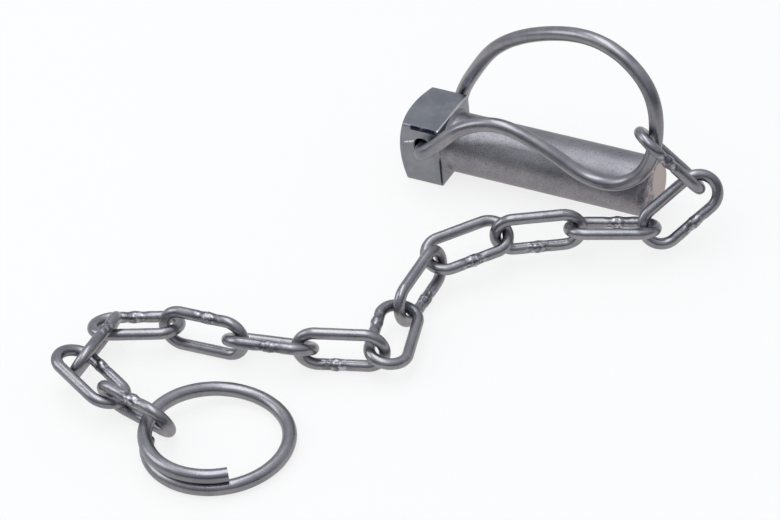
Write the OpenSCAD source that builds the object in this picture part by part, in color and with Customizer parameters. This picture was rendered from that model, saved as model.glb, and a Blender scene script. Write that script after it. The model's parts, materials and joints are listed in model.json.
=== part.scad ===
/* [Pin] */
// Diameter of the plain shank
shank_d = 20; // [16:0.5:24]
// Length of the plain shank, from the neck to the tip chamfer
shank_l = 69; // [60:0.5:90]
// Length of the chamfer at the tip
tip_l = 2; // [1:0.5:4]
// Diameter of the flat end of the tip
tip_d = 17; // [12:0.5:19]
// Length of the short cone between the head and the shank
neck_l = 1.5; // [1:0.5:3]
// Width of the square head across its flats
head_w = 22.4; // [21:0.5:26]
// Length of the head along its corner edges
head_l = 13; // [10:0.5:18]
// Radius of the crown turned on the outer end of the head
head_crown = 37; // [30:1:80]
// Diameter of the cross hole that takes the two ends of the wire
hole_d = 6; // [5.4:0.2:7]

/* [Bail] */
// Diameter of the spring wire
bail_d = 4.8; // [4:0.2:5]
// Distance of the cross hole behind the neck
pivot_x = 7.8; // [7:0.1:9]
// Height of the cross hole above the pin axis
pivot_z = 3.6; // [0:0.1:4]
// Play between the wire and the cross hole, taken up toward the tip
pivot_play = 0.4; // [0:0.1:0.5]

/* [Chain] */
// Diameter of the link wire
link_d = 3.8; // [3:0.2:4.2]
// Outer length of a link
link_l = 31.5; // [30:0.5:34]
// Outer width of a link
link_w = 16; // [15:0.5:17]

/* [Split ring] */
// Diameter of the ring wire
ring_wire = 4.6; // [3.6:0.2:5]
// Outer diameter of the ring
ring_od = 48.5; // [44:1:56]
// Number of turns of the ring wire
ring_turns = 1.3; // [1.25:0.01:1.34]
// Gap between the two overlapping turns
ring_gap = 0.3; // [0.2:0.1:1]

/* [Hidden] */
$fn = 64;
// Sides of the round wire of the bail and the ring, steps between two points of the bail, and steps of the ring
wire_sides = 18;
bail_steps = 3;
ring_steps = 64;

// Height of the surface that everything lies on
table_z = -head_w / 2;

function unit(v) = v / norm(v);

// The wire of the bail, from its near end in the cross hole to its far end, as points on its centre line
hx = -pivot_x + pivot_play;
hz = pivot_z - pivot_play;
bail_pts = [
    [hx, -5, hz], [hx, -8, hz], [hx, -11, hz], [hx + 0.3, -13.8, hz + 0.3], [-5.2, -15.5, 4.8],
    [-1, -15, 8.2], [3, -14.5, 12], [8, -13.8, 16.4], [14, -13.2, 19.4], [21, -12.6, 21],
    [28, -12.2, 19.8], [35, -12, 17], [42, -11.8, 13.3], [48.5, -11.6, 9.2], [54.5, -11.5, 7.2],
    [60.5, -11.5, 7.2], [66, -11, 9], [71, -10.6, 13.2], [74.2, -10, 18.8], [76, -9.2, 25.5],
    [76.3, -8, 34], [74.3, -6.5, 42], [69.5, -5, 48.3], [61.5, -3.2, 53.4], [50, -1, 55],
    [36, 1.5, 51.3], [22.5, 4.5, 44.3], [11.7, 7.5, 35.2], [4, 10.5, 24.7], [-3.4, 14.2, 13],
    [-6, 15.2, 7.2], [hx + 0.3, 13.8, hz + 0.3], [hx, 11, hz], [hx, 8, hz], [hx, 5, hz]
];

// A smooth curve that passes by each point of q: a cubic B-spline on corrected control points
function ctrl(q) = let (m = len(q) - 1) concat(
    [2 * q[0] - q[1], q[0]],
    [for (i = [1 : m - 1]) q[i] - (q[i - 1] - 2 * q[i] + q[i + 1]) / 6],
    [q[m], 2 * q[m] - q[m - 1]]);
function spline_at(p, i, t) = (pow(1 - t, 3) * p[i] + (3 * pow(t, 3) - 6 * t * t + 4) * p[i + 1]
    + (-3 * pow(t, 3) + 3 * t * t + 3 * t + 1) * p[i + 2] + pow(t, 3) * p[i + 3]) / 6;
function curve(q, steps) = let (p = ctrl(q)) concat(
    [for (i = [0 : len(q) - 2]) for (s = [0 : steps - 1]) spline_at(p, i, s / steps)],
    [q[len(q) - 1]]);

// Side vectors carried along a path without twisting
function tangents(p) = [for (i = [0 : len(p) - 1])
    unit(p[min(i + 1, len(p) - 1)] - p[max(i - 1, 0)])];
function sides(t, s) = [for (i = 0, v = unit(s - (s * t[0]) * t[0]); i < len(t); i = i + 1,
    v = i < len(t) ? unit(v - (v * t[i]) * t[i]) : v) v];

// A round wire of radius r along the path p, with n sides
module wire(p, r, n, s) {
    t = tangents(p);
    u = sides(t, s);
    m = len(p);
    pts = [for (i = [0 : m - 1]) let (w = cross(t[i], u[i])) for (k = [0 : n - 1])
        p[i] + r * (cos(360 * k / n) * u[i] + sin(360 * k / n) * w)];
    polyhedron(pts, concat(
        [[for (k = [0 : n - 1]) k]],
        [for (i = [0 : m - 2]) for (k = [0 : n - 1]) let (j = (k + 1) % n)
            [i * n + k, (i + 1) * n + k, (i + 1) * n + j, i * n + j]],
        [[for (k = [n - 1 : -1 : 0]) (m - 1) * n + k]]));
}

// How each link lies: heading about Z, pitch up, roll about its own length, slack in its seat,
// and how far its seat has slid round the end of the link before it
lay = [
    [25, -51, -19, 0.8, 0.5], [-132, -32, -62, 0.3, 0.5], [-156, 2, 20, 0.3, 0.5], [-150, 0, -92, 0.3, 0.5],
    [-130, -3, -20, 0.3, 0.3], [-91, -6, -84, 0.4, 0.6], [-74, -1, -11, 0.3, 0.9], [-162, 0, -89, 0.7, 0.5],
    [-169, 0, 34, 1.2, 0.5], [-176, 0, -85, 1.3, 0.5], [-158, -1, 13, 0.9, 0.5], [-85, 4, 60, 3.7, 0.9],
    [-23, -9, -16, 5.4, 0.4], [-14, 0, -70, 3, 0.5]
];
function rot(h, p, r) = let (x = [cos(h) * cos(p), sin(h) * cos(p), sin(p)], y0 = [-sin(h), cos(h), 0],
    z0 = cross(x, y0)) [x, cos(r) * y0 + sin(r) * z0, cos(r) * z0 - sin(r) * y0];

rho = (link_w - link_d) / 2;
half = link_l / 2 - link_w / 2;

// Seat of a child crown on a wire: point and tangent of the parent wire, frame of the child
function flat_to(v, z) = unit(v - (v * z) * z);
function seat_on(p, n, f, d, c) = let (rc = -flat_to(n, f[2])) p - (d + c) * n - rho * rc + half * f[0];

frames = [for (a = lay) rot(a[0], a[1], a[2])];
// The first link hangs on the bail wire, just past this point of it
hook_point = 19;
hook_steps = 4;
bail_line = curve(bail_pts, hook_steps);
hook_i = hook_point * hook_steps + 2;
hook_p = bail_line[hook_i];
hook_t = unit(bail_line[hook_i + 1] - bail_line[hook_i - 1]);
c0 = seat_on(hook_p, flat_to(frames[0][0], hook_t), frames[0], (bail_d + link_d) / 2, lay[0][3]);
function pull(k) = unit((1 - lay[k + 1][4]) * frames[k][0] + lay[k + 1][4] * frames[k + 1][0]);
function contact(c, f, n) = c + half * f[0] + rho * flat_to(n, f[2]);
function next(c, k) = seat_on(contact(c, frames[k], pull(k)), pull(k), frames[k + 1], link_d, lay[k + 1][3]);
centres = [for (k = 0, c = c0; k < len(lay); c = k < len(lay) - 1 ? next(c, k) : c, k = k + 1) c];

// The split ring lies on the table, and its centre is this way from the last link
ring_h = 12;
ring_slack = 3.3;
ring_r = (ring_od - ring_wire) / 2;
ring_x = [cos(ring_h), sin(ring_h), 0];
last = len(lay) - 1;
ring_n = unit(frames[last][0] + ring_x);
ring_p = contact(centres[last], frames[last], ring_n);
ring_seat = ring_p - ((link_d + ring_wire) / 2 + ring_slack) * ring_n + ring_r * ring_x;
ring_c = [ring_seat[0], ring_seat[1], table_z + ring_wire / 2];
// Its wire starts at the cut end, runs clockwise on top of itself and comes down by one wire on the way round
ring_start = -51;
ring_hold = 360 * (ring_turns - 1) + 2;
ring_fall = 150;
function ring_pt(a) = let (s = min(max((a - ring_hold) / ring_fall, 0), 1)) ring_c
    + [ring_r * cos(ring_start - a), ring_r * sin(ring_start - a), (ring_wire + ring_gap) * (1 + cos(180 * s)) / 2];
ring_path = [for (i = [0 : ring_steps]) ring_pt(i / ring_steps * 360 * ring_turns)];

// Where each moving piece hangs, and the line it swings about
contacts = concat([hook_p], [for (k = [0 : last - 1]) contact(centres[k], frames[k], pull(k))], [ring_p]);
hinges = concat([hook_t], [for (k = [0 : last - 1]) cross(frames[k][2], flat_to(pull(k), frames[k][2]))],
    [cross(frames[last][2], flat_to(ring_n, frames[last][2]))]);

module link(k) {
    f = frames[k];
    c = centres[k];
    color([0.62, 0.63, 0.66])
    multmatrix([[f[0][0], f[1][0], f[2][0], c[0]], [f[0][1], f[1][1], f[2][1], c[1]],
                [f[0][2], f[1][2], f[2][2], c[2]]])
    union() {
        for (s = [0, 180]) rotate([0, 0, s]) {
            translate([half, 0, 0]) rotate([0, 0, -90]) rotate_extrude(angle = 180) translate([rho, 0]) circle(d = link_d);
            translate([-half, rho, 0]) rotate([0, 90, 0]) cylinder(d = link_d, h = 2 * half);
        }
    }
}

// The crown's height over a circle of radius r, the length of the square bar the head is turned from,
// and the neck's diameter at the head
function sagitta(r) = head_crown - sqrt(head_crown * head_crown - r * r);
blank_l = 2 * head_l;
neck_d = 0.99 * head_w;

module pin() {
    color([0.6, 0.61, 0.63])
    difference() {
        union() {
            rotate([0, 90, 0]) cylinder(d = shank_d, h = shank_l);
            translate([shank_l, 0, 0]) rotate([0, 90, 0]) cylinder(d1 = shank_d, d2 = tip_d, h = tip_l);
            translate([-neck_l, 0, 0]) rotate([0, 90, 0]) cylinder(d1 = neck_d, d2 = shank_d, h = neck_l);
            intersection() {
                translate([-neck_l - blank_l, -head_w / 2, -head_w / 2]) cube([blank_l, head_w, head_w]);
                translate([-neck_l - head_l - sagitta(head_w / sqrt(2)) + head_crown, 0, 0]) sphere(r = head_crown);
            }
        }
        translate([-pivot_x, 0, pivot_z]) rotate([90, 0, 0]) cylinder(d = hole_d, h = 1.1 * head_w, center = true);
    }
}

module bail() { color([0.62, 0.63, 0.66]) wire(curve(bail_pts, bail_steps), bail_d / 2, wire_sides, [0, 0, 1]); }

module split_ring() { color([0.62, 0.63, 0.66]) wire(ring_path, ring_wire / 2, wire_sides, [0, 0, 1]); }

module link_01() { link(0); }
module link_02() { link(1); }
module link_03() { link(2); }
module link_04() { link(3); }
module link_05() { link(4); }
module link_06() { link(5); }
module link_07() { link(6); }
module link_08() { link(7); }
module link_09() { link(8); }
module link_10() { link(9); }
module link_11() { link(10); }
module link_12() { link(11); }
module link_13() { link(12); }
module link_14() { link(13); }

pin();
bail();
link_01();
link_02();
link_03();
link_04();
link_05();
link_06();
link_07();
link_08();
link_09();
link_10();
link_11();
link_12();
link_13();
link_14();
split_ring();
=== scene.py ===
# A zinc-plated lynch pin with its spring bail, a short welded chain and a split ring, laid on a table.
import json
import math

import bmesh
import bpy
import numpy as np
from mathutils import Matrix, Vector


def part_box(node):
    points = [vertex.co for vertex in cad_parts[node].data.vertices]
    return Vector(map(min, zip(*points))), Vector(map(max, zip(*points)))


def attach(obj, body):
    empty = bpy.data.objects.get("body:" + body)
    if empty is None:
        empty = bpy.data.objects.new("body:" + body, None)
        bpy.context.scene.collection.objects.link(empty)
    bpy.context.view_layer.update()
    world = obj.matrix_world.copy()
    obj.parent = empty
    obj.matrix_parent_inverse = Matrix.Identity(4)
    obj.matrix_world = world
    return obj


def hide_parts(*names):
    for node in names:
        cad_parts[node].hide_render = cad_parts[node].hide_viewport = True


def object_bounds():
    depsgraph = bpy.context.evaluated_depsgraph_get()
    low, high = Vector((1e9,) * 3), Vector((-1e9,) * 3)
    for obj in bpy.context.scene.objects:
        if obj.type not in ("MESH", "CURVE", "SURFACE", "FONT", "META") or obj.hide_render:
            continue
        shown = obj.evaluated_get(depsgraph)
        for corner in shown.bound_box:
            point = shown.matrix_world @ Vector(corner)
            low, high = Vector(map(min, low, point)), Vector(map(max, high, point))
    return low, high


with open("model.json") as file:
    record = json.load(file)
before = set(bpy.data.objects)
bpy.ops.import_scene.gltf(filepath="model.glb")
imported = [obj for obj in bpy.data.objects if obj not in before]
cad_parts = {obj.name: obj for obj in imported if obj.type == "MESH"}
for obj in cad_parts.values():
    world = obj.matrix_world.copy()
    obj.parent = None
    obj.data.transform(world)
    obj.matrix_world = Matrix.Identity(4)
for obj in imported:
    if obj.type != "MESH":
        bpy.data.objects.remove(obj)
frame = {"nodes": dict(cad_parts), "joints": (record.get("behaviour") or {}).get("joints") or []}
cad_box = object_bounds()

MM = 0.001

# Pin
SHANK_D = 20 * MM
SHANK_L = 69 * MM
TIP_L = 2 * MM
TIP_D = 17 * MM
NECK_L = 1.5 * MM
HEAD_W = 22.4 * MM
HEAD_L = 13 * MM
HEAD_CROWN = 37 * MM
HEAD_CORNER = 0.7 * MM
EDGE_ROUND = 0.35 * MM
HOLE_D = 6 * MM
HOLE_BEHIND = 7.8 * MM
HOLE_ABOVE = 3.6 * MM
HOLE_FLARE = 0.35 * MM
DRILL_PAST = 1 * MM
DRILL_SIDES = 64
FACE_INSET = 0.2 * MM
CONE_INSET = 0.25 * MM
NECK_FLARE = 0.35 * MM
NECK_BEND = (-0.5 * MM, 0.6 * MM)
PIN_SHARP = math.radians(24)

# Loops of the pin, as shares of the way over the crown, the head, the shank and the end face
CROWN_LOOPS = (0.02, 0.15, 0.3, 0.45, 0.6, 0.75, 0.88, 0.97)
HEAD_LOOPS = (0.04, 0.3, 0.6, 0.96)
SHANK_LOOPS = (0.03, 0.25, 0.5, 0.75, 0.97)
END_LOOPS = (0.9, 0.5, 0.1)

# Wires
BAIL_D = 4.8 * MM
RING_D = 4.6 * MM
LINK_D = 3.8 * MM
LINK_L = 31.5 * MM
LINK_W = 16 * MM
WIRE_SIDES = 28
WIRE_STEP = 0.4 * MM
WIRE_SHARP = math.radians(50)
BEND_STEPS = 24
BAIL_CHAMFER = 0.4 * MM
RING_CHAMFER = 0.3 * MM
LINK_SEEDS = 3.7
BAIL_SEED = 1.3
RING_SEED = 8.1

# Unevenness of a wire: how much, which share of it lies inwards, and how the draw marks are stretched
WOBBLE = 0.12 * MM
WOBBLE_IN = 0.8
MARKS_ROUND = 900
MARKS_ALONG = 25

# Bail: play of the wire in the cross hole, and the points that its centre line passes by, in millimetres
PLAY = 0.4
BAIL_X = -7.8 + PLAY
BAIL_Z = 3.6 - PLAY
BAIL_STEPS = 10
BAIL_POINTS = [
    (BAIL_X, -5, BAIL_Z), (BAIL_X, -8, BAIL_Z), (BAIL_X, -11, BAIL_Z),
    (BAIL_X + 0.3, -13.8, BAIL_Z + 0.3), (-5.2, -15.5, 4.8),
    (-1, -15, 8.2), (3, -14.5, 12), (8, -13.8, 16.4), (14, -13.2, 19.4), (21, -12.6, 21),
    (28, -12.2, 19.8), (35, -12, 17), (42, -11.8, 13.3), (48.5, -11.6, 9.2), (54.5, -11.5, 7.2),
    (60.5, -11.5, 7.2), (66, -11, 9), (71, -10.6, 13.2), (74.2, -10, 18.8), (76, -9.2, 25.5),
    (76.3, -8, 34), (74.3, -6.5, 42), (69.5, -5, 48.3), (61.5, -3.2, 53.4), (50, -1, 55),
    (36, 1.5, 51.3), (22.5, 4.5, 44.3), (11.7, 7.5, 35.2), (4, 10.5, 24.7), (-3.4, 14.2, 13),
    (-6, 15.2, 7.2), (BAIL_X + 0.3, 13.8, BAIL_Z + 0.3),
    (BAIL_X, 11, BAIL_Z), (BAIL_X, 8, BAIL_Z), (BAIL_X, 5, BAIL_Z),
]

# Split ring: the wire runs clockwise from its upper cut end and comes down by one wire on the way round
RING_TURNS = 1.3
RING_GAP = 0.3 * MM
RING_START = math.radians(-51)
RING_HOLD = math.radians(360 * (RING_TURNS - 1) + 2)
RING_FALL = math.radians(150)
RING_STEPS = 240

# Weld of each link: the side of the leg that carries it, and how far along it lies from the middle
WELDS = {
    "link_01": (-1, -3.5), "link_02": (1, -0.5), "link_03": (-1, -1.5), "link_04": (-1, 0.5),
    "link_05": (1, 0.5), "link_06": (1, 0.0), "link_07": (-1, -3.5), "link_08": (1, 2.0),
    "link_09": (1, -1.5), "link_10": (-1, -2.0), "link_11": (-1, 1.5), "link_12": (1, -2.5),
    "link_13": (1, -3.0), "link_14": (-1, 1.5),
}

# Weld: height of the swell, depth of the two clamp marks, widths of these and of the burnt zone
WELD_SWELL = 0.18 * MM
WELD_MARK = 0.24 * MM
FLASH_WIDTH = 1.3 * MM
CLAMP_MARKS = ((-2.7 * MM, 1.2 * MM), (2.5 * MM, 1.0 * MM))
BURNT_WIDTH = 3.5 * MM
BURNT_FULL = 1.4
BITE_POWER = 4.0
LEG_FROM = 1 * MM

# Marks on the head, along the pin (x), sideways (y) and upwards (z): from, to and how softly they end; the
# edge and rim marks are painted light: a painted dark reflection along the top near edge, and a painted
# highlight and a painted shade at the neck
NEAR_Y = (-HEAD_W / 2 + 0.7 * MM, -HEAD_W / 2 + 0.4 * MM)
PAINTED_EDGE_DARK_X = (-12 * MM, -2 * MM, 0.7 * MM)
PAINTED_EDGE_DARK_Z = (HEAD_W / 2 - 1.7 * MM, HEAD_W / 2 + 1 * MM, 0.4 * MM)
PAINTED_RIM_X = (-NECK_L - 0.6 * MM, -NECK_L + 0.2 * MM, 0.2 * MM)
PAINTED_HIGHLIGHT_Z = (HEAD_W / 2 - 0.6 * MM, HEAD_W / 2 - 0.3 * MM)
PAINTED_SHADE_Z = (-HEAD_W / 2, 1 * MM, 2 * MM)
STREAK_X = (-14.6 * MM, -10.6 * MM, 0.4 * MM)
STREAK_ACROSS = (-0.2 * MM, 0.6 * MM, 0.2 * MM)
STREAK_SLOPE = 0.35
STREAK_FOOT = -25 * MM
HEAD_FROM = (-1.2 * MM, -1.6 * MM)
HEAD_SMOOTHER = 0.07
HEAD_GRAIN = 0.35

# Marks on the tip: where the end face and its bevel lie, and the round part of the face that is smooth
END_X = (SHANK_L + TIP_L - 0.1 * MM, SHANK_L + TIP_L)
BEVEL_X = (SHANK_L, SHANK_L + TIP_L, 0.6 * MM)
SMOOTH_Y = 5.5 * MM
SMOOTH_Z = 1.5 * MM
SMOOTH_FADE = (7.3 * MM, 8.6 * MM)

# Zinc: its two cloudy tones, its dark specks, and the colours of its marks, among them the painted dark
# reflection, painted highlight and painted shade of the head
STEEL = ((0.26, 0.265, 0.3, 1), (0.36, 0.36, 0.385, 1))
SPECKS = (0.13, 0.125, 0.13, 1)
HEAD_STEEL = ((0.235, 0.25, 0.285, 1), (0.305, 0.32, 0.35, 1))
BURNT = (0.1, 0.1, 0.12, 1)
BARE = (0.6, 0.6, 0.66, 1)
# Painted dark reflection along the head's top near edge
PAINTED_EDGE_DARK = (0.02, 0.02, 0.045, 1)
# Painted highlight on the top edge of the head at the neck
PAINTED_RIM_HIGHLIGHT = (0.6, 0.6, 0.65, 1)
# Painted shade: a dark line on the near face of the head at the neck
PAINTED_RIM_SHADE = (0.03, 0.03, 0.04, 1)
# A thin bright wavy streak on the near face of the head
BRIGHT_STREAK = (0.95, 0.95, 1, 1)
SHEARED = (0.5, 0.44, 0.43, 1)
TORN_DARK = (0.07, 0.07, 0.11, 1)
TORN_BRIGHT = (0.7, 0.72, 0.82, 1)

# Noises: blotches to the metre, detail and roughness
CLOUDS_NOISE = (95, 4.0, 0.55)
WOBBLE_NOISE = (230, 2.0, 0.5)
STAINS_NOISE = (420, 3.0, 0.6)
TORN_NOISE = (430, 3.0, 0.65)
SKIN_NOISE = (700, 3.0, 0.65)
LUMPS_NOISE = (900, 3.0, 0.6)
STREAK_NOISE = (1600, 3.0, 0.5)
SPECKS_NOISE = (2600, 2.0, 0.6)

# The draw marks' noise lies on their stretched place, and each finish gives its own fineness of grain
DRAW_NOISE = (5.0, 3.0, 0.6)
GRAIN_NOISE = (2.0, 0.65)

# What a noise does from one of its values to another: where it starts and ends, and how much it does there
TONE_SPAN = (0.38, 0.62)
ROUGH_SPAN = (0.3, 0.7)
SPECKS_SPAN = (0.5, 0.72)
DRAW_FLECKS = (0.6, 0.75, 0.0, 0.35)
BURNT_FLECKS = (0.42, 0.6, 0.0, 0.75)
BARE_FLECKS = (0.48, 0.36, 0.0, 0.85)
PAINTED_EDGE_DARK_FLECKS = (0.3, 0.5, 0.5, 1.0)
STREAK_FLECKS = (0.4, 0.55)
TORN_DARK_FLECKS = (0.4, 0.56, 0.2, 0.85)
TORN_BRIGHT_FLECKS = (0.42, 0.3, 0.0, 0.6)
FLASH_LUMPS = (0.35, 0.65, 0.1, 1.5)
CLAMP_LUMPS = (0.3, 0.7, 0.6, 1.2)

# Shares in the tone and in the marks, and heights in the bump
CLOUDS_SHARE = 0.65
STAINS_SHARE = 0.35
SHEARED_SHARE = 0.8
BEVEL_SHARE = 0.4
DRAW_HEIGHT = 0.8
SKIN_HEIGHT = 3.0
BUMP_STRENGTH = 0.6

# Room that the metal mirrors: its colours, and where one fades into the next
ROOM_BACK = (0.58, 0.59, 0.62, 1)
ROOM_FRONT_LOW = (0.08, 0.08, 0.09, 1)
ROOM_FRONT_HIGH = (0.5, 0.51, 0.55, 1)
ROOM_TOP = (1, 0.99, 1, 1)
FRONT_FADE = (-0.3, 0.45)
LOW_FADE = (0.1, 0.55)
TOP_FADE = (0.7, 0.95)
DAYLIGHT = (0.9, 0.93, 1.0, 1)
DAYLIGHT_STRENGTH = 0.85
WHITE = (1, 1, 1, 1)

# Table: its paint, what the metal mirrors of it near and far, and how much of it is seen through
TABLE_PAINT = (0.8, 0.8, 0.8, 1)
TABLE_NEAR = (0.84, 0.8, 0.77, 1)
TABLE_FAR = (0.4, 0.385, 0.39, 1)
TABLE_FADE = (0.1, 0.4)
TABLE_MIRRORED = 0.8
TABLE_CLEAR = 0.8
TABLE_HALF = 6.0

# Lamps: place, size and watts
LAMPS = {
    "overhead_box": ((-0.1, -0.1, 0.85), (1.0, 0.4), 2.5),
    "side_box": ((-0.7, -0.35, 0.5), (0.4, 0.5), 1.2),
}

# Camera of the photograph: a long lens that looks down on the table
VIEW_TURN = math.radians(31.43)
VIEW_TILT = math.radians(38.07)
VIEW_ROLL = math.radians(-6.335)
VIEW_FAR = 1.2
VIEW_AT = Vector((0.0002, -0.0523, -0.0111))
VIEW_LENS = 171.8
VIEW_SENSOR = 36
VIEW_END = 50


def node(tree, kind, inputs=None, **settings):
    """Adds a node, sets it and joins or fills its inputs."""
    made = tree.nodes.new(kind)
    for name, value in settings.items():
        setattr(made, name, value)
    for key, value in (inputs or {}).items():
        if isinstance(value, bpy.types.NodeSocket):
            tree.links.new(value, made.inputs[key])
        else:
            made.inputs[key].default_value = value
    return made


def calc(tree, operation, *values, clamp=False):
    """A Math node on numbers or sockets."""
    made = node(tree, "ShaderNodeMath", dict(enumerate(values)), operation=operation)
    made.use_clamp = clamp
    return made.outputs[0]


def times(tree, *values):
    """The product of numbers or sockets."""
    product = values[0]
    for value in values[1:]:
        product = calc(tree, "MULTIPLY", product, value)
    return product


def noise(tree, place, scale, detail, rough, **more):
    """A noise between 0 and 1."""
    inputs = {"Vector": place, "Scale": scale, "Detail": detail, "Roughness": rough, **more}
    dimensions = "4D" if "W" in more else "3D"
    return node(tree, "ShaderNodeTexNoise", inputs, noise_dimensions=dimensions).outputs[0]


def spread(tree, value, low, high, to_low=0.0, to_high=1.0):
    """Maps a value from one range to another and keeps it within that."""
    inputs = {"Value": value, "From Min": low, "From Max": high, "To Min": to_low, "To Max": to_high}
    return node(tree, "ShaderNodeMapRange", inputs).outputs[0]


def between(tree, value, low, high, soft):
    """A mask that is 0 outside low and high and 1 inside, with a short soft step at each."""
    return times(tree, spread(tree, value, low, low + soft), spread(tree, value, high, high - soft))


def mixed(tree, share, a, b):
    """A colour between a and b."""
    return node(tree, "ShaderNodeMix", {0: share, 6: a, 7: b}, data_type="RGBA").outputs[2]


def new_material(name):
    """An empty material and its tree."""
    material = bpy.data.materials.new(name)
    material.use_nodes = True
    tree = material.node_tree
    tree.nodes.clear()
    return material, tree


def head_streak_and_painted_light(tree, place, stains, colour):
    """Painted light on the head: a painted dark reflection along the top near edge, a painted highlight and a
    painted shade at the neck; and a thin bright streak.
    """
    x, y, z = node(tree, "ShaderNodeSeparateXYZ", {0: place}).outputs
    near = spread(tree, y, *NEAR_Y)
    # Painted dark reflection along the top near edge of the head
    painted_edge_dark = times(tree, between(tree, z, *PAINTED_EDGE_DARK_Z), between(tree, x, *PAINTED_EDGE_DARK_X), near,
                 spread(tree, stains, *PAINTED_EDGE_DARK_FLECKS))
    colour = mixed(tree, painted_edge_dark, colour, PAINTED_EDGE_DARK)
    # Painted highlight on the top edge and painted shade on the near face, both at the neck
    rim = between(tree, x, *PAINTED_RIM_X)
    colour = mixed(tree, times(tree, rim, spread(tree, z, *PAINTED_HIGHLIGHT_Z)), colour, PAINTED_RIM_HIGHLIGHT)
    colour = mixed(tree, times(tree, rim, near, between(tree, z, *PAINTED_SHADE_Z)), colour, PAINTED_RIM_SHADE)
    # A thin bright streak along a sloping line on the near face
    off_line = calc(tree, "SUBTRACT", z, times(tree, calc(tree, "SUBTRACT", x, STREAK_FOOT), STREAK_SLOPE))
    bright_streak = times(tree, between(tree, off_line, *STREAK_ACROSS), between(tree, x, *STREAK_X), near,
                 spread(tree, noise(tree, place, *STREAK_NOISE), *STREAK_FLECKS))
    return mixed(tree, bright_streak, colour, BRIGHT_STREAK)


def tip_marks(tree, place, colour):
    """The sheared end face: smooth on the far side, torn with dark and bright patches on the near side."""
    x, y, z = node(tree, "ShaderNodeSeparateXYZ", {0: place}).outputs
    face = spread(tree, x, *END_X)
    colour = mixed(tree, times(tree, face, SHEARED_SHARE), colour, SHEARED)
    from_smooth = node(tree, "ShaderNodeCombineXYZ", {
        0: calc(tree, "SUBTRACT", y, SMOOTH_Y), 1: calc(tree, "SUBTRACT", z, SMOOTH_Z)}).outputs[0]
    away = node(tree, "ShaderNodeVectorMath", {0: from_smooth}, operation="LENGTH").outputs["Value"]
    torn = calc(tree, "MAXIMUM", times(tree, face, spread(tree, away, *SMOOTH_FADE)),
                times(tree, between(tree, x, *BEVEL_X), BEVEL_SHARE))
    patches = noise(tree, place, *TORN_NOISE)
    dark = times(tree, torn, spread(tree, patches, *TORN_DARK_FLECKS))
    colour = mixed(tree, dark, colour, TORN_DARK)
    bright = times(tree, torn, spread(tree, patches, *TORN_BRIGHT_FLECKS))
    return mixed(tree, bright, colour, TORN_BRIGHT)


def pin_marks_and_painted_light(tree, place, cloudy, stains, colour):
    """The head's own tone, the painted light and the bright streak on the head, and the marks of the tip;
    gives the mask of the head too.
    """
    along = node(tree, "ShaderNodeSeparateXYZ", {0: place}).outputs[0]
    is_head = spread(tree, along, *HEAD_FROM)
    colour = mixed(tree, is_head, colour, mixed(tree, cloudy, *HEAD_STEEL))
    colour = head_streak_and_painted_light(tree, place, stains, colour)
    return tip_marks(tree, place, colour), is_head


def wire_marks(tree, place, colour, height):
    """Faint draw marks along a wire, and the burnt and bare flecks and the rough skin of a weld."""
    marks_at = node(tree, "ShaderNodeAttribute", attribute_name="along_wire").outputs["Vector"]
    marks = noise(tree, marks_at, *DRAW_NOISE)
    colour = mixed(tree, spread(tree, marks, *DRAW_FLECKS), colour, SPECKS)
    height = calc(tree, "ADD", height, times(tree, marks, DRAW_HEIGHT))
    weld = node(tree, "ShaderNodeAttribute", attribute_name="weld").outputs["Fac"]
    skin = noise(tree, place, *SKIN_NOISE)
    burnt = times(tree, weld, spread(tree, skin, *BURNT_FLECKS))
    colour = mixed(tree, burnt, colour, BURNT)
    bare = times(tree, weld, spread(tree, skin, *BARE_FLECKS))
    colour = mixed(tree, bare, colour, BARE)
    return colour, calc(tree, "ADD", height, times(tree, skin, weld, SKIN_HEIGHT))


def plated(name, drawn, rough, grain_fine, grain_depth, speckle):
    """Zinc-plated steel: cloudy tone, specks and fine grain, with the marks of a drawn wire, or of the pin
    with the painted highlight, painted shade and painted dark reflection on its head.
    """
    material, tree = new_material(name)
    place = node(tree, "ShaderNodeTexCoord").outputs["Object"]
    clouds = noise(tree, place, *CLOUDS_NOISE)
    stains = noise(tree, place, *STAINS_NOISE)
    height = noise(tree, place, grain_fine, *GRAIN_NOISE)
    share = calc(tree, "ADD", times(tree, clouds, CLOUDS_SHARE), times(tree, stains, STAINS_SHARE))
    cloudy = spread(tree, share, *TONE_SPAN)
    colour = mixed(tree, cloudy, *STEEL)
    specks = noise(tree, place, *SPECKS_NOISE)
    colour = mixed(tree, spread(tree, specks, *SPECKS_SPAN, 0.0, speckle), colour, SPECKS)
    roughness = spread(tree, clouds, *ROUGH_SPAN, *rough)
    if drawn:
        colour, height = wire_marks(tree, place, colour, height)
    else:
        # The pin's marks include painted highlight, painted shade and painted dark reflection on the head
        colour, is_head = pin_marks_and_painted_light(tree, place, cloudy, stains, colour)
        roughness = calc(tree, "SUBTRACT", roughness, times(tree, is_head, HEAD_SMOOTHER))
        height = times(tree, height, spread(tree, is_head, 0.0, 1.0, 1.0, HEAD_GRAIN))
    bump = node(tree, "ShaderNodeBump", {
        "Strength": BUMP_STRENGTH, "Distance": grain_depth, "Height": height})
    shader = node(tree, "ShaderNodeBsdfPrincipled", {
        "Base Color": colour, "Metallic": 1.0, "Roughness": roughness, "Normal": bump.outputs[0]})
    node(tree, "ShaderNodeOutputMaterial", {"Surface": shader.outputs[0]})
    return material


def new_tree(name, inputs):
    """A Geometry Nodes tree with named inputs; gives the tree and its inputs' sockets."""
    tree = bpy.data.node_groups.new(name, "GeometryNodeTree")
    tree.is_modifier = True
    tree.interface.new_socket("Geometry", in_out="INPUT", socket_type="NodeSocketGeometry")
    tree.interface.new_socket("Geometry", in_out="OUTPUT", socket_type="NodeSocketGeometry")
    for label, kind in inputs.items():
        tree.interface.new_socket(label, in_out="INPUT", socket_type="NodeSocket" + kind)
    return tree, tree.nodes.new("NodeGroupInput").outputs


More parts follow.
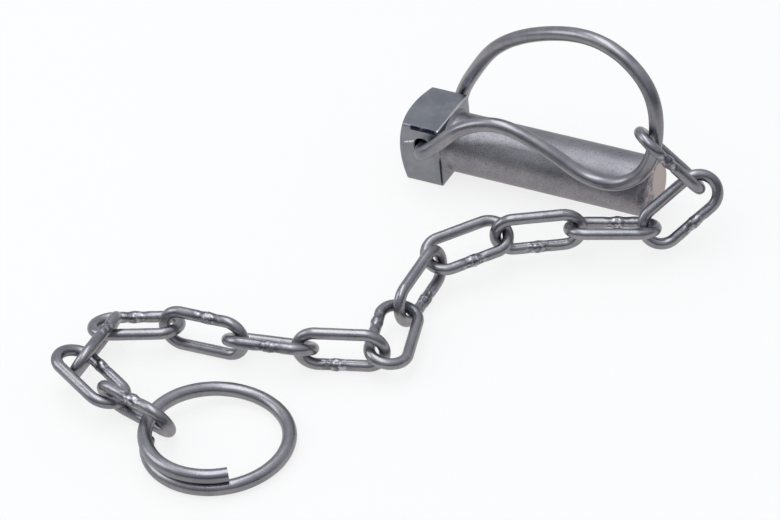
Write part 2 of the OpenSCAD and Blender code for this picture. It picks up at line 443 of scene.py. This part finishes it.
def swept(tree, path, wire, finish, seed, swell=None):
    """Sweeps a round wire along a path, makes it a little uneven and gives it its finish."""
    circle = node(tree, "GeometryNodeCurvePrimitiveCircle", {
        "Resolution": WIRE_SIDES, "Radius": times(tree, wire, 0.5)})
    round_it = node(tree, "GeometryNodeInputPosition").outputs[0]
    section = node(tree, "GeometryNodeStoreNamedAttribute", {
        "Geometry": circle.outputs[0], "Name": "section", "Value": round_it},
        data_type="FLOAT_VECTOR", domain="POINT")
    far = node(tree, "GeometryNodeSplineParameter").outputs["Length"]
    line = node(tree, "GeometryNodeStoreNamedAttribute", {"Geometry": path, "Name": "far", "Value": far},
                data_type="FLOAT", domain="POINT")
    tube = node(tree, "GeometryNodeCurveToMesh", {
        "Curve": line.outputs[0], "Profile Curve": section.outputs[0], "Fill Caps": True})
    around = node(tree, "GeometryNodeInputNamedAttribute", {"Name": "section"}, data_type="FLOAT_VECTOR")
    along = node(tree, "GeometryNodeInputNamedAttribute", {"Name": "far"}, data_type="FLOAT")
    parts = node(tree, "ShaderNodeSeparateXYZ", {0: around.outputs[0]})
    marks = node(tree, "ShaderNodeCombineXYZ", {
        0: times(tree, parts.outputs[0], MARKS_ROUND),
        1: times(tree, parts.outputs[1], MARKS_ROUND),
        2: times(tree, along.outputs[0], MARKS_ALONG)})
    marked = node(tree, "GeometryNodeStoreNamedAttribute", {
        "Geometry": tube.outputs[0], "Name": "along_wire", "Value": marks.outputs[0]},
        data_type="FLOAT_VECTOR", domain="POINT")
    place = node(tree, "GeometryNodeInputPosition").outputs[0]
    wobble = noise(tree, place, *WOBBLE_NOISE, W=seed)
    height = times(tree, calc(tree, "SUBTRACT", wobble, WOBBLE_IN), WOBBLE)
    if swell is not None:
        rise, zone = swell(tree, place)
        height = calc(tree, "ADD", height, rise)
        marked = node(tree, "GeometryNodeStoreNamedAttribute", {
            "Geometry": marked.outputs[0], "Name": "weld", "Value": zone}, data_type="FLOAT", domain="POINT")
    normal = node(tree, "GeometryNodeInputNormal").outputs[0]
    offset = node(tree, "ShaderNodeVectorMath", {0: normal, "Scale": height}, operation="SCALE")
    moved = node(tree, "GeometryNodeSetPosition", {
        "Geometry": marked.outputs[0], "Offset": offset.outputs[0]})
    for name in ("section", "far"):
        moved = node(tree, "GeometryNodeRemoveAttribute", {"Geometry": moved.outputs[0], "Name": name})
    smooth = node(tree, "GeometryNodeSetShadeSmooth", {"Geometry": moved.outputs[0]})
    real = node(tree, "GeometryNodeRealizeInstances", {"Geometry": smooth.outputs[0]})
    done = node(tree, "GeometryNodeSetMaterial", {"Geometry": real.outputs[0], "Material": finish})
    node(tree, "NodeGroupOutput", {0: done.outputs[0]})


def link_tree():
    """A chain link: wire bent to a rectangle with round ends, with the weld on one long leg."""
    tree, given = new_tree("chain_link", {
        "Length": "Float", "Width": "Float", "Wire": "Float", "Weld side": "Float",
        "Weld place": "Float", "Seed": "Float", "Finish": "Material"})
    across = calc(tree, "SUBTRACT", given["Width"], given["Wire"])
    outline = node(tree, "GeometryNodeCurvePrimitiveQuadrilateral", {
        "Width": calc(tree, "SUBTRACT", given["Length"], given["Wire"]), "Height": across})
    bent = node(tree, "GeometryNodeFilletCurve", {
        "Curve": outline.outputs[0], "Count": BEND_STEPS, "Limit Radius": True,
        "Radius": times(tree, across, 0.5)}, mode="POLY")
    path = node(tree, "GeometryNodeResampleCurve", {"Curve": bent.outputs[0], "Length": WIRE_STEP},
                mode="LENGTH")

    def weld(tree, place):
        """The rise of the surface at the weld, and a mask of the burnt zone round it."""
        at = node(tree, "ShaderNodeSeparateXYZ", {0: place}).outputs
        on_leg = calc(tree, "GREATER_THAN", times(tree, at[1], given["Weld side"]), LEG_FROM)
        away = calc(tree, "SUBTRACT", at[0], given["Weld place"])

        def hill(centre, width):
            """A smooth bump, 1 high, at a place along the leg."""
            u = calc(tree, "DIVIDE", calc(tree, "SUBTRACT", away, centre), width)
            return calc(tree, "EXPONENT", times(tree, u, u, -1.0))

        lumps = noise(tree, place, *LUMPS_NOISE, W=given["Seed"])
        flash = times(tree, hill(0.0, FLASH_WIDTH), spread(tree, lumps, *FLASH_LUMPS))
        facing = node(tree, "ShaderNodeSeparateXYZ", {
            0: node(tree, "GeometryNodeInputNormal").outputs[0]}).outputs
        clamped = calc(tree, "MAXIMUM", times(tree, facing[1], given["Weld side"]), 0.0)
        bitten = calc(tree, "MAXIMUM", calc(tree, "ABSOLUTE", facing[2]), clamped)
        bites = [hill(*mark) for mark in CLAMP_MARKS]
        marks = times(tree, calc(tree, "ADD", *bites), calc(tree, "POWER", bitten, BITE_POWER),
                      spread(tree, lumps, *CLAMP_LUMPS))
        both = calc(tree, "SUBTRACT", times(tree, flash, WELD_SWELL), times(tree, marks, WELD_MARK))
        burnt = calc(tree, "MULTIPLY", hill(0.0, BURNT_WIDTH), BURNT_FULL, clamp=True)
        return times(tree, both, on_leg), times(tree, burnt, on_leg)

    swept(tree, path.outputs[0], given["Wire"], given["Finish"], given["Seed"], weld)
    return tree


def wire_tree():
    """A plain wire along a path, with its two cut ends slightly chamfered."""
    tree, given = new_tree("bent_wire", {
        "Wire": "Float", "Chamfer": "Float", "Seed": "Float", "Finish": "Material"})
    curve = node(tree, "GeometryNodeMeshToCurve", {0: given["Geometry"]})
    path = node(tree, "GeometryNodeResampleCurve", {"Curve": curve.outputs[0], "Length": WIRE_STEP},
                mode="LENGTH")
    here = node(tree, "GeometryNodeSplineParameter").outputs["Length"]
    whole = node(tree, "GeometryNodeSplineLength").outputs["Length"]
    to_end = calc(tree, "MINIMUM", here, calc(tree, "SUBTRACT", whole, here))
    short = calc(tree, "MAXIMUM", calc(tree, "SUBTRACT", given["Chamfer"], to_end), 0.0)
    narrow = calc(tree, "SUBTRACT", 1.0, calc(tree, "DIVIDE", times(tree, short, 2.0), given["Wire"]))
    thick = node(tree, "GeometryNodeSetCurveRadius", {"Curve": path.outputs[0], "Radius": narrow})
    swept(tree, thick.outputs[0], given["Wire"], given["Finish"], given["Seed"])
    return tree


def made_by(tree, name, values, points=()):
    """Runs a Geometry Nodes tree on a chain of points and keeps the result as a plain mesh."""
    mesh = bpy.data.meshes.new(name)
    mesh.from_pydata([tuple(p) for p in points], [(i, i + 1) for i in range(len(points) - 1)], [])
    piece = bpy.data.objects.new(name, mesh)
    bpy.context.scene.collection.objects.link(piece)
    modifier = piece.modifiers.new("make", "NODES")
    modifier.node_group = tree
    for item in tree.interface.items_tree:
        if item.item_type == "SOCKET" and item.in_out == "INPUT" and item.name in values:
            modifier[item.identifier] = values[item.name]
    graph = bpy.context.evaluated_depsgraph_get()
    plain = bpy.data.meshes.new_from_object(piece.evaluated_get(graph), preserve_all_data_layers=True,
                                            depsgraph=graph)
    piece.modifiers.clear()
    piece.data = plain
    plain.name = name
    plain.set_sharp_from_angle(angle=WIRE_SHARP)
    return piece


def joint_place(name):
    """Where a joint lies at rest."""
    for joint in frame["joints"]:
        if joint["name"] == name:
            return Vector(joint["pos_m"])
    raise KeyError(name)


def link_seat(name, toward):
    """Centre and axes of a link, measured on its solid: length, width and the way through the loop."""
    mesh = frame["nodes"][name].data
    mesh.calc_loop_triangles()
    corners = np.array([mesh.vertices[v].co for t in mesh.loop_triangles for v in t.vertices])
    corners = corners.reshape(-1, 3, 3)
    area = np.linalg.norm(np.cross(corners[:, 1] - corners[:, 0], corners[:, 2] - corners[:, 0]), axis=1)
    middle = corners.mean(axis=1)
    centre = (middle * area[:, None]).sum(axis=0) / area.sum()
    spread_out = ((middle - centre) * area[:, None]).T @ (middle - centre)
    axes = np.linalg.eigh(spread_out)[1]
    length = Vector(axes[:, 2])
    through = Vector(axes[:, 0])
    if length.dot(toward) < 0:
        length = -length
    if through.z < 0:
        through = -through
    width = through.cross(length)
    seat = Matrix((length, width, through)).transposed().to_4x4()
    return Matrix.Translation(Vector(centre)) @ seat


def add_links(tree, finish):
    """The fourteen links, each built flat and then laid where its solid lies."""
    names = list(WELDS)
    hinges = [joint_place(name + "_hinge") for name in names] + [joint_place("split_ring_hinge")]
    for k, name in enumerate(names):
        side, place = WELDS[name]
        piece = made_by(tree, name + "_wire", {
            "Length": LINK_L, "Width": LINK_W, "Wire": LINK_D, "Weld side": float(side),
            "Weld place": place * MM, "Seed": LINK_SEEDS * k, "Finish": finish})
        piece.data.transform(link_seat(name, hinges[k + 1] - hinges[k]))
        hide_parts(name)
        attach(piece, name)


def spline(points, steps):
    """A smooth curve that passes by each point: a cubic B-spline on corrected control points."""
    p = [np.array(q, float) for q in points]
    control = [2 * p[0] - p[1], p[0]]
    control += [p[i] - (p[i - 1] - 2 * p[i] + p[i + 1]) / 6 for i in range(1, len(p) - 1)]
    control += [p[-1], 2 * p[-1] - p[-2]]
    line = []
    for i in range(len(p) - 1):
        for s in range(steps):
            t = s / steps
            line.append(((1 - t) ** 3 * control[i] + (3 * t ** 3 - 6 * t * t + 4) * control[i + 1]
                         + (-3 * t ** 3 + 3 * t * t + 3 * t + 1) * control[i + 2]
                         + t ** 3 * control[i + 3]) / 6)
    return line + [p[-1]]


def add_bail(tree, finish):
    """The spring wire that snaps over the shank."""
    line = [q * MM for q in spline(BAIL_POINTS, BAIL_STEPS)]
    piece = made_by(tree, "bail_wire", {
        "Wire": BAIL_D, "Chamfer": BAIL_CHAMFER, "Seed": BAIL_SEED, "Finish": finish}, line)
    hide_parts("bail")
    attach(piece, "bail")


def add_ring(tree, finish):
    """The split ring, wound a turn and a third, with both cut ends in view."""
    low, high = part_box("split_ring")
    radius = (high[0] - low[0] - RING_D) / 2
    centre = ((low[0] + high[0]) / 2, (low[1] + high[1]) / 2, low[2] + RING_D / 2)
    line = []
    for i in range(RING_STEPS + 1):
        turn = i / RING_STEPS * 2 * math.pi * RING_TURNS
        fall = min(max((turn - RING_HOLD) / RING_FALL, 0), 1)
        up = (RING_D + RING_GAP) * (1 + math.cos(math.pi * fall)) / 2
        line.append((centre[0] + radius * math.cos(RING_START - turn),
                     centre[1] + radius * math.sin(RING_START - turn), centre[2] + up))
    piece = made_by(tree, "split_ring_wire", {
        "Wire": RING_D, "Chamfer": RING_CHAMFER, "Seed": RING_SEED, "Finish": finish}, line)
    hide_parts("split_ring")
    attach(piece, "split_ring")


def square_outline(half, corner, along=22, around=6):
    """Points once round a square with rounded corners, as y and z."""
    flat = half - corner
    reach = math.atan(flat / half)
    side = [(half, half * math.tan(reach * (2 * i / along - 1))) for i in range(along + 1)]
    angles = [math.pi / 2 * i / around for i in range(1, around)]
    bend = [(flat + corner * math.cos(angle), flat + corner * math.sin(angle)) for angle in angles]
    quarter = np.array(side + bend)
    turned = []
    for k in range(4):
        c, s = math.cos(math.pi / 2 * k), math.sin(math.pi / 2 * k)
        turned.append(quarter @ np.array([[c, s], [-s, c]]))
    return np.concatenate(turned)


def bend_between(a, b, c, steps=4):
    """Loops on a rounded edge from a to c that turns at b."""
    return [(1 - t) ** 2 * a + 2 * t * (1 - t) * b + t * t * c for t in np.linspace(0, 1, steps + 1)]


def pin_loops():
    """The loops of points that the pin is lofted through, from the crown to the tip."""
    half = HEAD_W / 2
    outline = square_outline(half, HEAD_CORNER)
    around = outline / np.linalg.norm(outline, axis=1)[:, None]
    reach = HEAD_W / math.sqrt(2)
    crown_x = -NECK_L - HEAD_L + math.sqrt(HEAD_CROWN ** 2 - reach ** 2)

    def loop(x, points):
        """Points given as y and z, at one x or at an x each."""
        return np.column_stack([np.broadcast_to(x, len(points)), points])

    def on_crown(points):
        """Points laid on the crowned end of the head."""
        return loop(crown_x - np.sqrt(HEAD_CROWN ** 2 - (points ** 2).sum(axis=1)), points)

    def circle(x, radius):
        """A circle at x, with as many points as the square outline."""
        return loop(x, around * radius)

    edge = EDGE_ROUND
    inner = outline * (half - edge) / half
    loops = [on_crown(inner * f) for f in CROWN_LOOPS]
    rim = on_crown(outline)
    side = rim + [edge, 0, 0]
    loops += bend_between(on_crown(inner), rim, side)
    shoulder = loop(-NECK_L, outline)
    back = shoulder - [edge, 0, 0]
    loops += [side + (back - side) * f for f in HEAD_LOOPS]
    face_edge = loop(-NECK_L, outline * (half - FACE_INSET) / half)
    loops += bend_between(back, shoulder, face_edge)
    cone = half - CONE_INSET
    shank = SHANK_D / 2
    tip = TIP_D / 2
    loops += [circle(-NECK_L, cone), circle(-NECK_L + CONE_INSET, cone - FACE_INSET)]
    loops += bend_between(circle(NECK_BEND[0], shank + NECK_FLARE), circle(0, shank),
                          circle(NECK_BEND[1], shank))
    loops += [circle(SHANK_L * f, shank) for f in SHANK_LOOPS]
    end = SHANK_L + TIP_L
    slope = (shank - tip) / TIP_L
    loops += bend_between(circle(SHANK_L - edge, shank), circle(SHANK_L, shank),
                          circle(SHANK_L + edge, shank - slope * edge))
    loops += bend_between(circle(end - edge, tip + slope * edge), circle(end, tip), circle(end, tip - edge))
    loops += [circle(end, tip * f) for f in END_LOOPS]
    return loops


def lofted(name, loops):
    """A closed mesh through loops of equal counts, with a fan at each end."""
    count = len(loops[0])
    points = np.concatenate(loops)
    first, last = loops[0].mean(axis=0), loops[-1].mean(axis=0)
    points = np.concatenate([points, [first, last]])
    faces = []
    for i in range(len(loops) - 1):
        for k in range(count):
            n = (k + 1) % count
            faces.append((i * count + k, (i + 1) * count + k, (i + 1) * count + n, i * count + n))
    top = (len(loops) - 1) * count
    for k in range(count):
        n = (k + 1) % count
        faces.append((len(points) - 2, k, n))
        faces.append((len(points) - 1, top + n, top + k))
    mesh = bpy.data.meshes.new(name)
    mesh.from_pydata(points.tolist(), [], faces)
    piece = bpy.data.objects.new(name, mesh)
    bpy.context.scene.collection.objects.link(piece)
    outward(mesh)
    return piece


def outward(mesh):
    """Turns every face of a closed mesh outwards."""
    form = bmesh.new()
    form.from_mesh(mesh)
    bmesh.ops.remove_doubles(form, verts=form.verts, dist=1e-6)
    bmesh.ops.recalc_face_normals(form, faces=form.faces)
    form.to_mesh(mesh)
    form.free()


def hole_drill():
    """The drill for the cross hole, which flares at both faces of the head and stands out past them."""
    bore = HOLE_D / 2
    face = HEAD_W / 2
    past = face + DRILL_PAST
    wide = bore + HOLE_FLARE + DRILL_PAST
    steps = [(-past, wide), (-face + HOLE_FLARE, bore), (face - HOLE_FLARE, bore), (past, wide)]
    angles = np.linspace(0, 2 * math.pi, DRILL_SIDES, endpoint=False)
    x, z = np.cos(angles), np.sin(angles)
    loops = [np.column_stack([-HOLE_BEHIND + r * x, np.full(DRILL_SIDES, y), HOLE_ABOVE + r * z])
             for y, r in steps]
    return lofted("drill", loops)


def add_pin(finish):
    """The pin: turned shank, square head with a crowned end, drilled across for the bail."""
    piece = lofted("pin_steel_body", pin_loops())
    drill = hole_drill()
    cut = piece.modifiers.new("drill", "BOOLEAN")
    cut.operation = "DIFFERENCE"
    cut.solver = "EXACT"
    cut.object = drill
    graph = bpy.context.evaluated_depsgraph_get()
    plain = bpy.data.meshes.new_from_object(piece.evaluated_get(graph), depsgraph=graph)
    piece.modifiers.clear()
    piece.data = plain
    bpy.data.objects.remove(drill)
    for polygon in plain.polygons:
        polygon.use_smooth = True
    plain.set_sharp_from_angle(angle=PIN_SHARP)
    plain.materials.clear()
    plain.materials.append(finish)
    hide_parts("pin")
    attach(piece, "pin")


def add_floor():
    """A pale table that shows white, keeps the shadow, and lets a chain that hangs below it be seen."""
    material, tree = new_material("pale_table")
    path = node(tree, "ShaderNodeLightPath").outputs
    paint = node(tree, "ShaderNodeBsdfDiffuse", {0: TABLE_PAINT})
    ground = node(tree, "ShaderNodeTexCoord").outputs["Object"]
    away = node(tree, "ShaderNodeVectorMath", {0: ground}, operation="LENGTH").outputs["Value"]
    mirrored = mixed(tree, spread(tree, away, *TABLE_FADE), TABLE_NEAR, TABLE_FAR)
    glow = node(tree, "ShaderNodeEmission", {0: mirrored, 1: 1.0})
    clear = node(tree, "ShaderNodeBsdfTransparent", {0: WHITE})
    surface = node(tree, "ShaderNodeMixShader", {
        0: times(tree, path["Is Glossy Ray"], TABLE_MIRRORED), 1: paint.outputs[0], 2: glow.outputs[0]})
    surface = node(tree, "ShaderNodeMixShader", {
        0: times(tree, path["Is Camera Ray"], TABLE_CLEAR), 1: surface.outputs[0], 2: clear.outputs[0]})
    node(tree, "ShaderNodeOutputMaterial", {"Surface": surface.outputs[0]})
    height = cad_box[0][2]
    corners = [(x * TABLE_HALF, y * TABLE_HALF, height) for x, y in ((-1, -1), (1, -1), (1, 1), (-1, 1))]
    mesh = bpy.data.meshes.new("table")
    mesh.from_pydata(corners, [], [(0, 1, 2, 3)])
    mesh.materials.append(material)
    table = bpy.data.objects.new("table", mesh)
    bpy.context.scene.collection.objects.link(table)


def add_world():
    """White round the object for the camera; a softer room for what the metal mirrors."""
    world = bpy.data.worlds.new("studio")
    world.use_nodes = True
    tree = world.node_tree
    tree.nodes.clear()
    path = node(tree, "ShaderNodeLightPath").outputs
    way = node(tree, "ShaderNodeTexCoord").outputs["Generated"]
    x, y, z = node(tree, "ShaderNodeSeparateXYZ", {0: way}).outputs
    toward = calc(tree, "ADD", times(tree, x, math.sin(VIEW_TURN)), times(tree, y, -math.cos(VIEW_TURN)))
    front = mixed(tree, spread(tree, z, *LOW_FADE), ROOM_FRONT_LOW, ROOM_FRONT_HIGH)
    room = mixed(tree, spread(tree, toward, *FRONT_FADE), ROOM_BACK, front)
    room = mixed(tree, spread(tree, z, *TOP_FADE), room, ROOM_TOP)
    seen = calc(tree, "ADD", path["Is Camera Ray"], path["Is Transmission Ray"], clamp=True)
    colour = mixed(tree, seen, room, WHITE)
    mirrored = calc(tree, "ADD", seen, path["Is Glossy Ray"], clamp=True)
    colour = mixed(tree, mirrored, DAYLIGHT, colour)
    strength = spread(tree, mirrored, 0.0, 1.0, DAYLIGHT_STRENGTH, 1.0)
    background = node(tree, "ShaderNodeBackground", {"Color": colour, "Strength": strength})
    node(tree, "ShaderNodeOutputWorld", {"Surface": background.outputs[0]})
    bpy.context.scene.world = world


def add_lamp(name, place, size, watts):
    """A soft box that points at the middle of the object."""
    lamp = bpy.data.lights.new(name, "AREA")
    lamp.shape = "RECTANGLE"
    lamp.size, lamp.size_y = size
    lamp.energy = watts
    made = bpy.data.objects.new(name, lamp)
    bpy.context.scene.collection.objects.link(made)
    made.location = place
    made.rotation_mode = "QUATERNION"
    made.rotation_quaternion = (VIEW_AT - Vector(place)).to_track_quat("-Z", "Y")


def add_camera():
    """The camera of the photograph, turned, tilted and rolled about the point that it looks at."""
    data = bpy.data.cameras.new("camera")
    data.lens = VIEW_LENS
    data.sensor_width = VIEW_SENSOR
    data.sensor_fit = "HORIZONTAL"
    data.clip_end = VIEW_END
    back = Vector((math.sin(VIEW_TURN) * math.cos(VIEW_TILT), -math.cos(VIEW_TURN) * math.cos(VIEW_TILT),
                   math.sin(VIEW_TILT)))
    level = Vector((math.cos(VIEW_TURN), math.sin(VIEW_TURN), 0))
    upward = back.cross(level)
    right = math.cos(VIEW_ROLL) * level + math.sin(VIEW_ROLL) * upward
    up = math.cos(VIEW_ROLL) * upward - math.sin(VIEW_ROLL) * level
    camera = bpy.data.objects.new("camera", data)
    bpy.context.scene.collection.objects.link(camera)
    turned = Matrix((right, up, back)).transposed().to_4x4()
    camera.matrix_world = Matrix.Translation(VIEW_AT + VIEW_FAR * back) @ turned
    bpy.context.scene.camera = camera


pin_finish = plated("turned_pin_steel", drawn=False, rough=(0.36, 0.46), grain_fine=2600,
                    grain_depth=0.08 * MM, speckle=0.95)
bail_finish = plated("bail_spring_wire", drawn=True, rough=(0.27, 0.36), grain_fine=1800,
                     grain_depth=0.02 * MM, speckle=0.3)
chain_finish = plated("chain_link_wire", drawn=True, rough=(0.22, 0.34), grain_fine=1500,
                      grain_depth=0.035 * MM, speckle=0.45)
ring_finish = plated("split_ring_wire_finish", drawn=True, rough=(0.24, 0.35), grain_fine=1500,
                     grain_depth=0.025 * MM, speckle=0.4)

add_camera()
add_pin(pin_finish)
links = link_tree()
wires = wire_tree()
add_links(links, chain_finish)
add_bail(wires, bail_finish)
add_ring(wires, ring_finish)
add_floor()
add_world()
for name, (place, size, watts) in LAMPS.items():
    add_lamp(name, place, size, watts)
bpy.context.scene.view_settings.view_transform = "Standard"
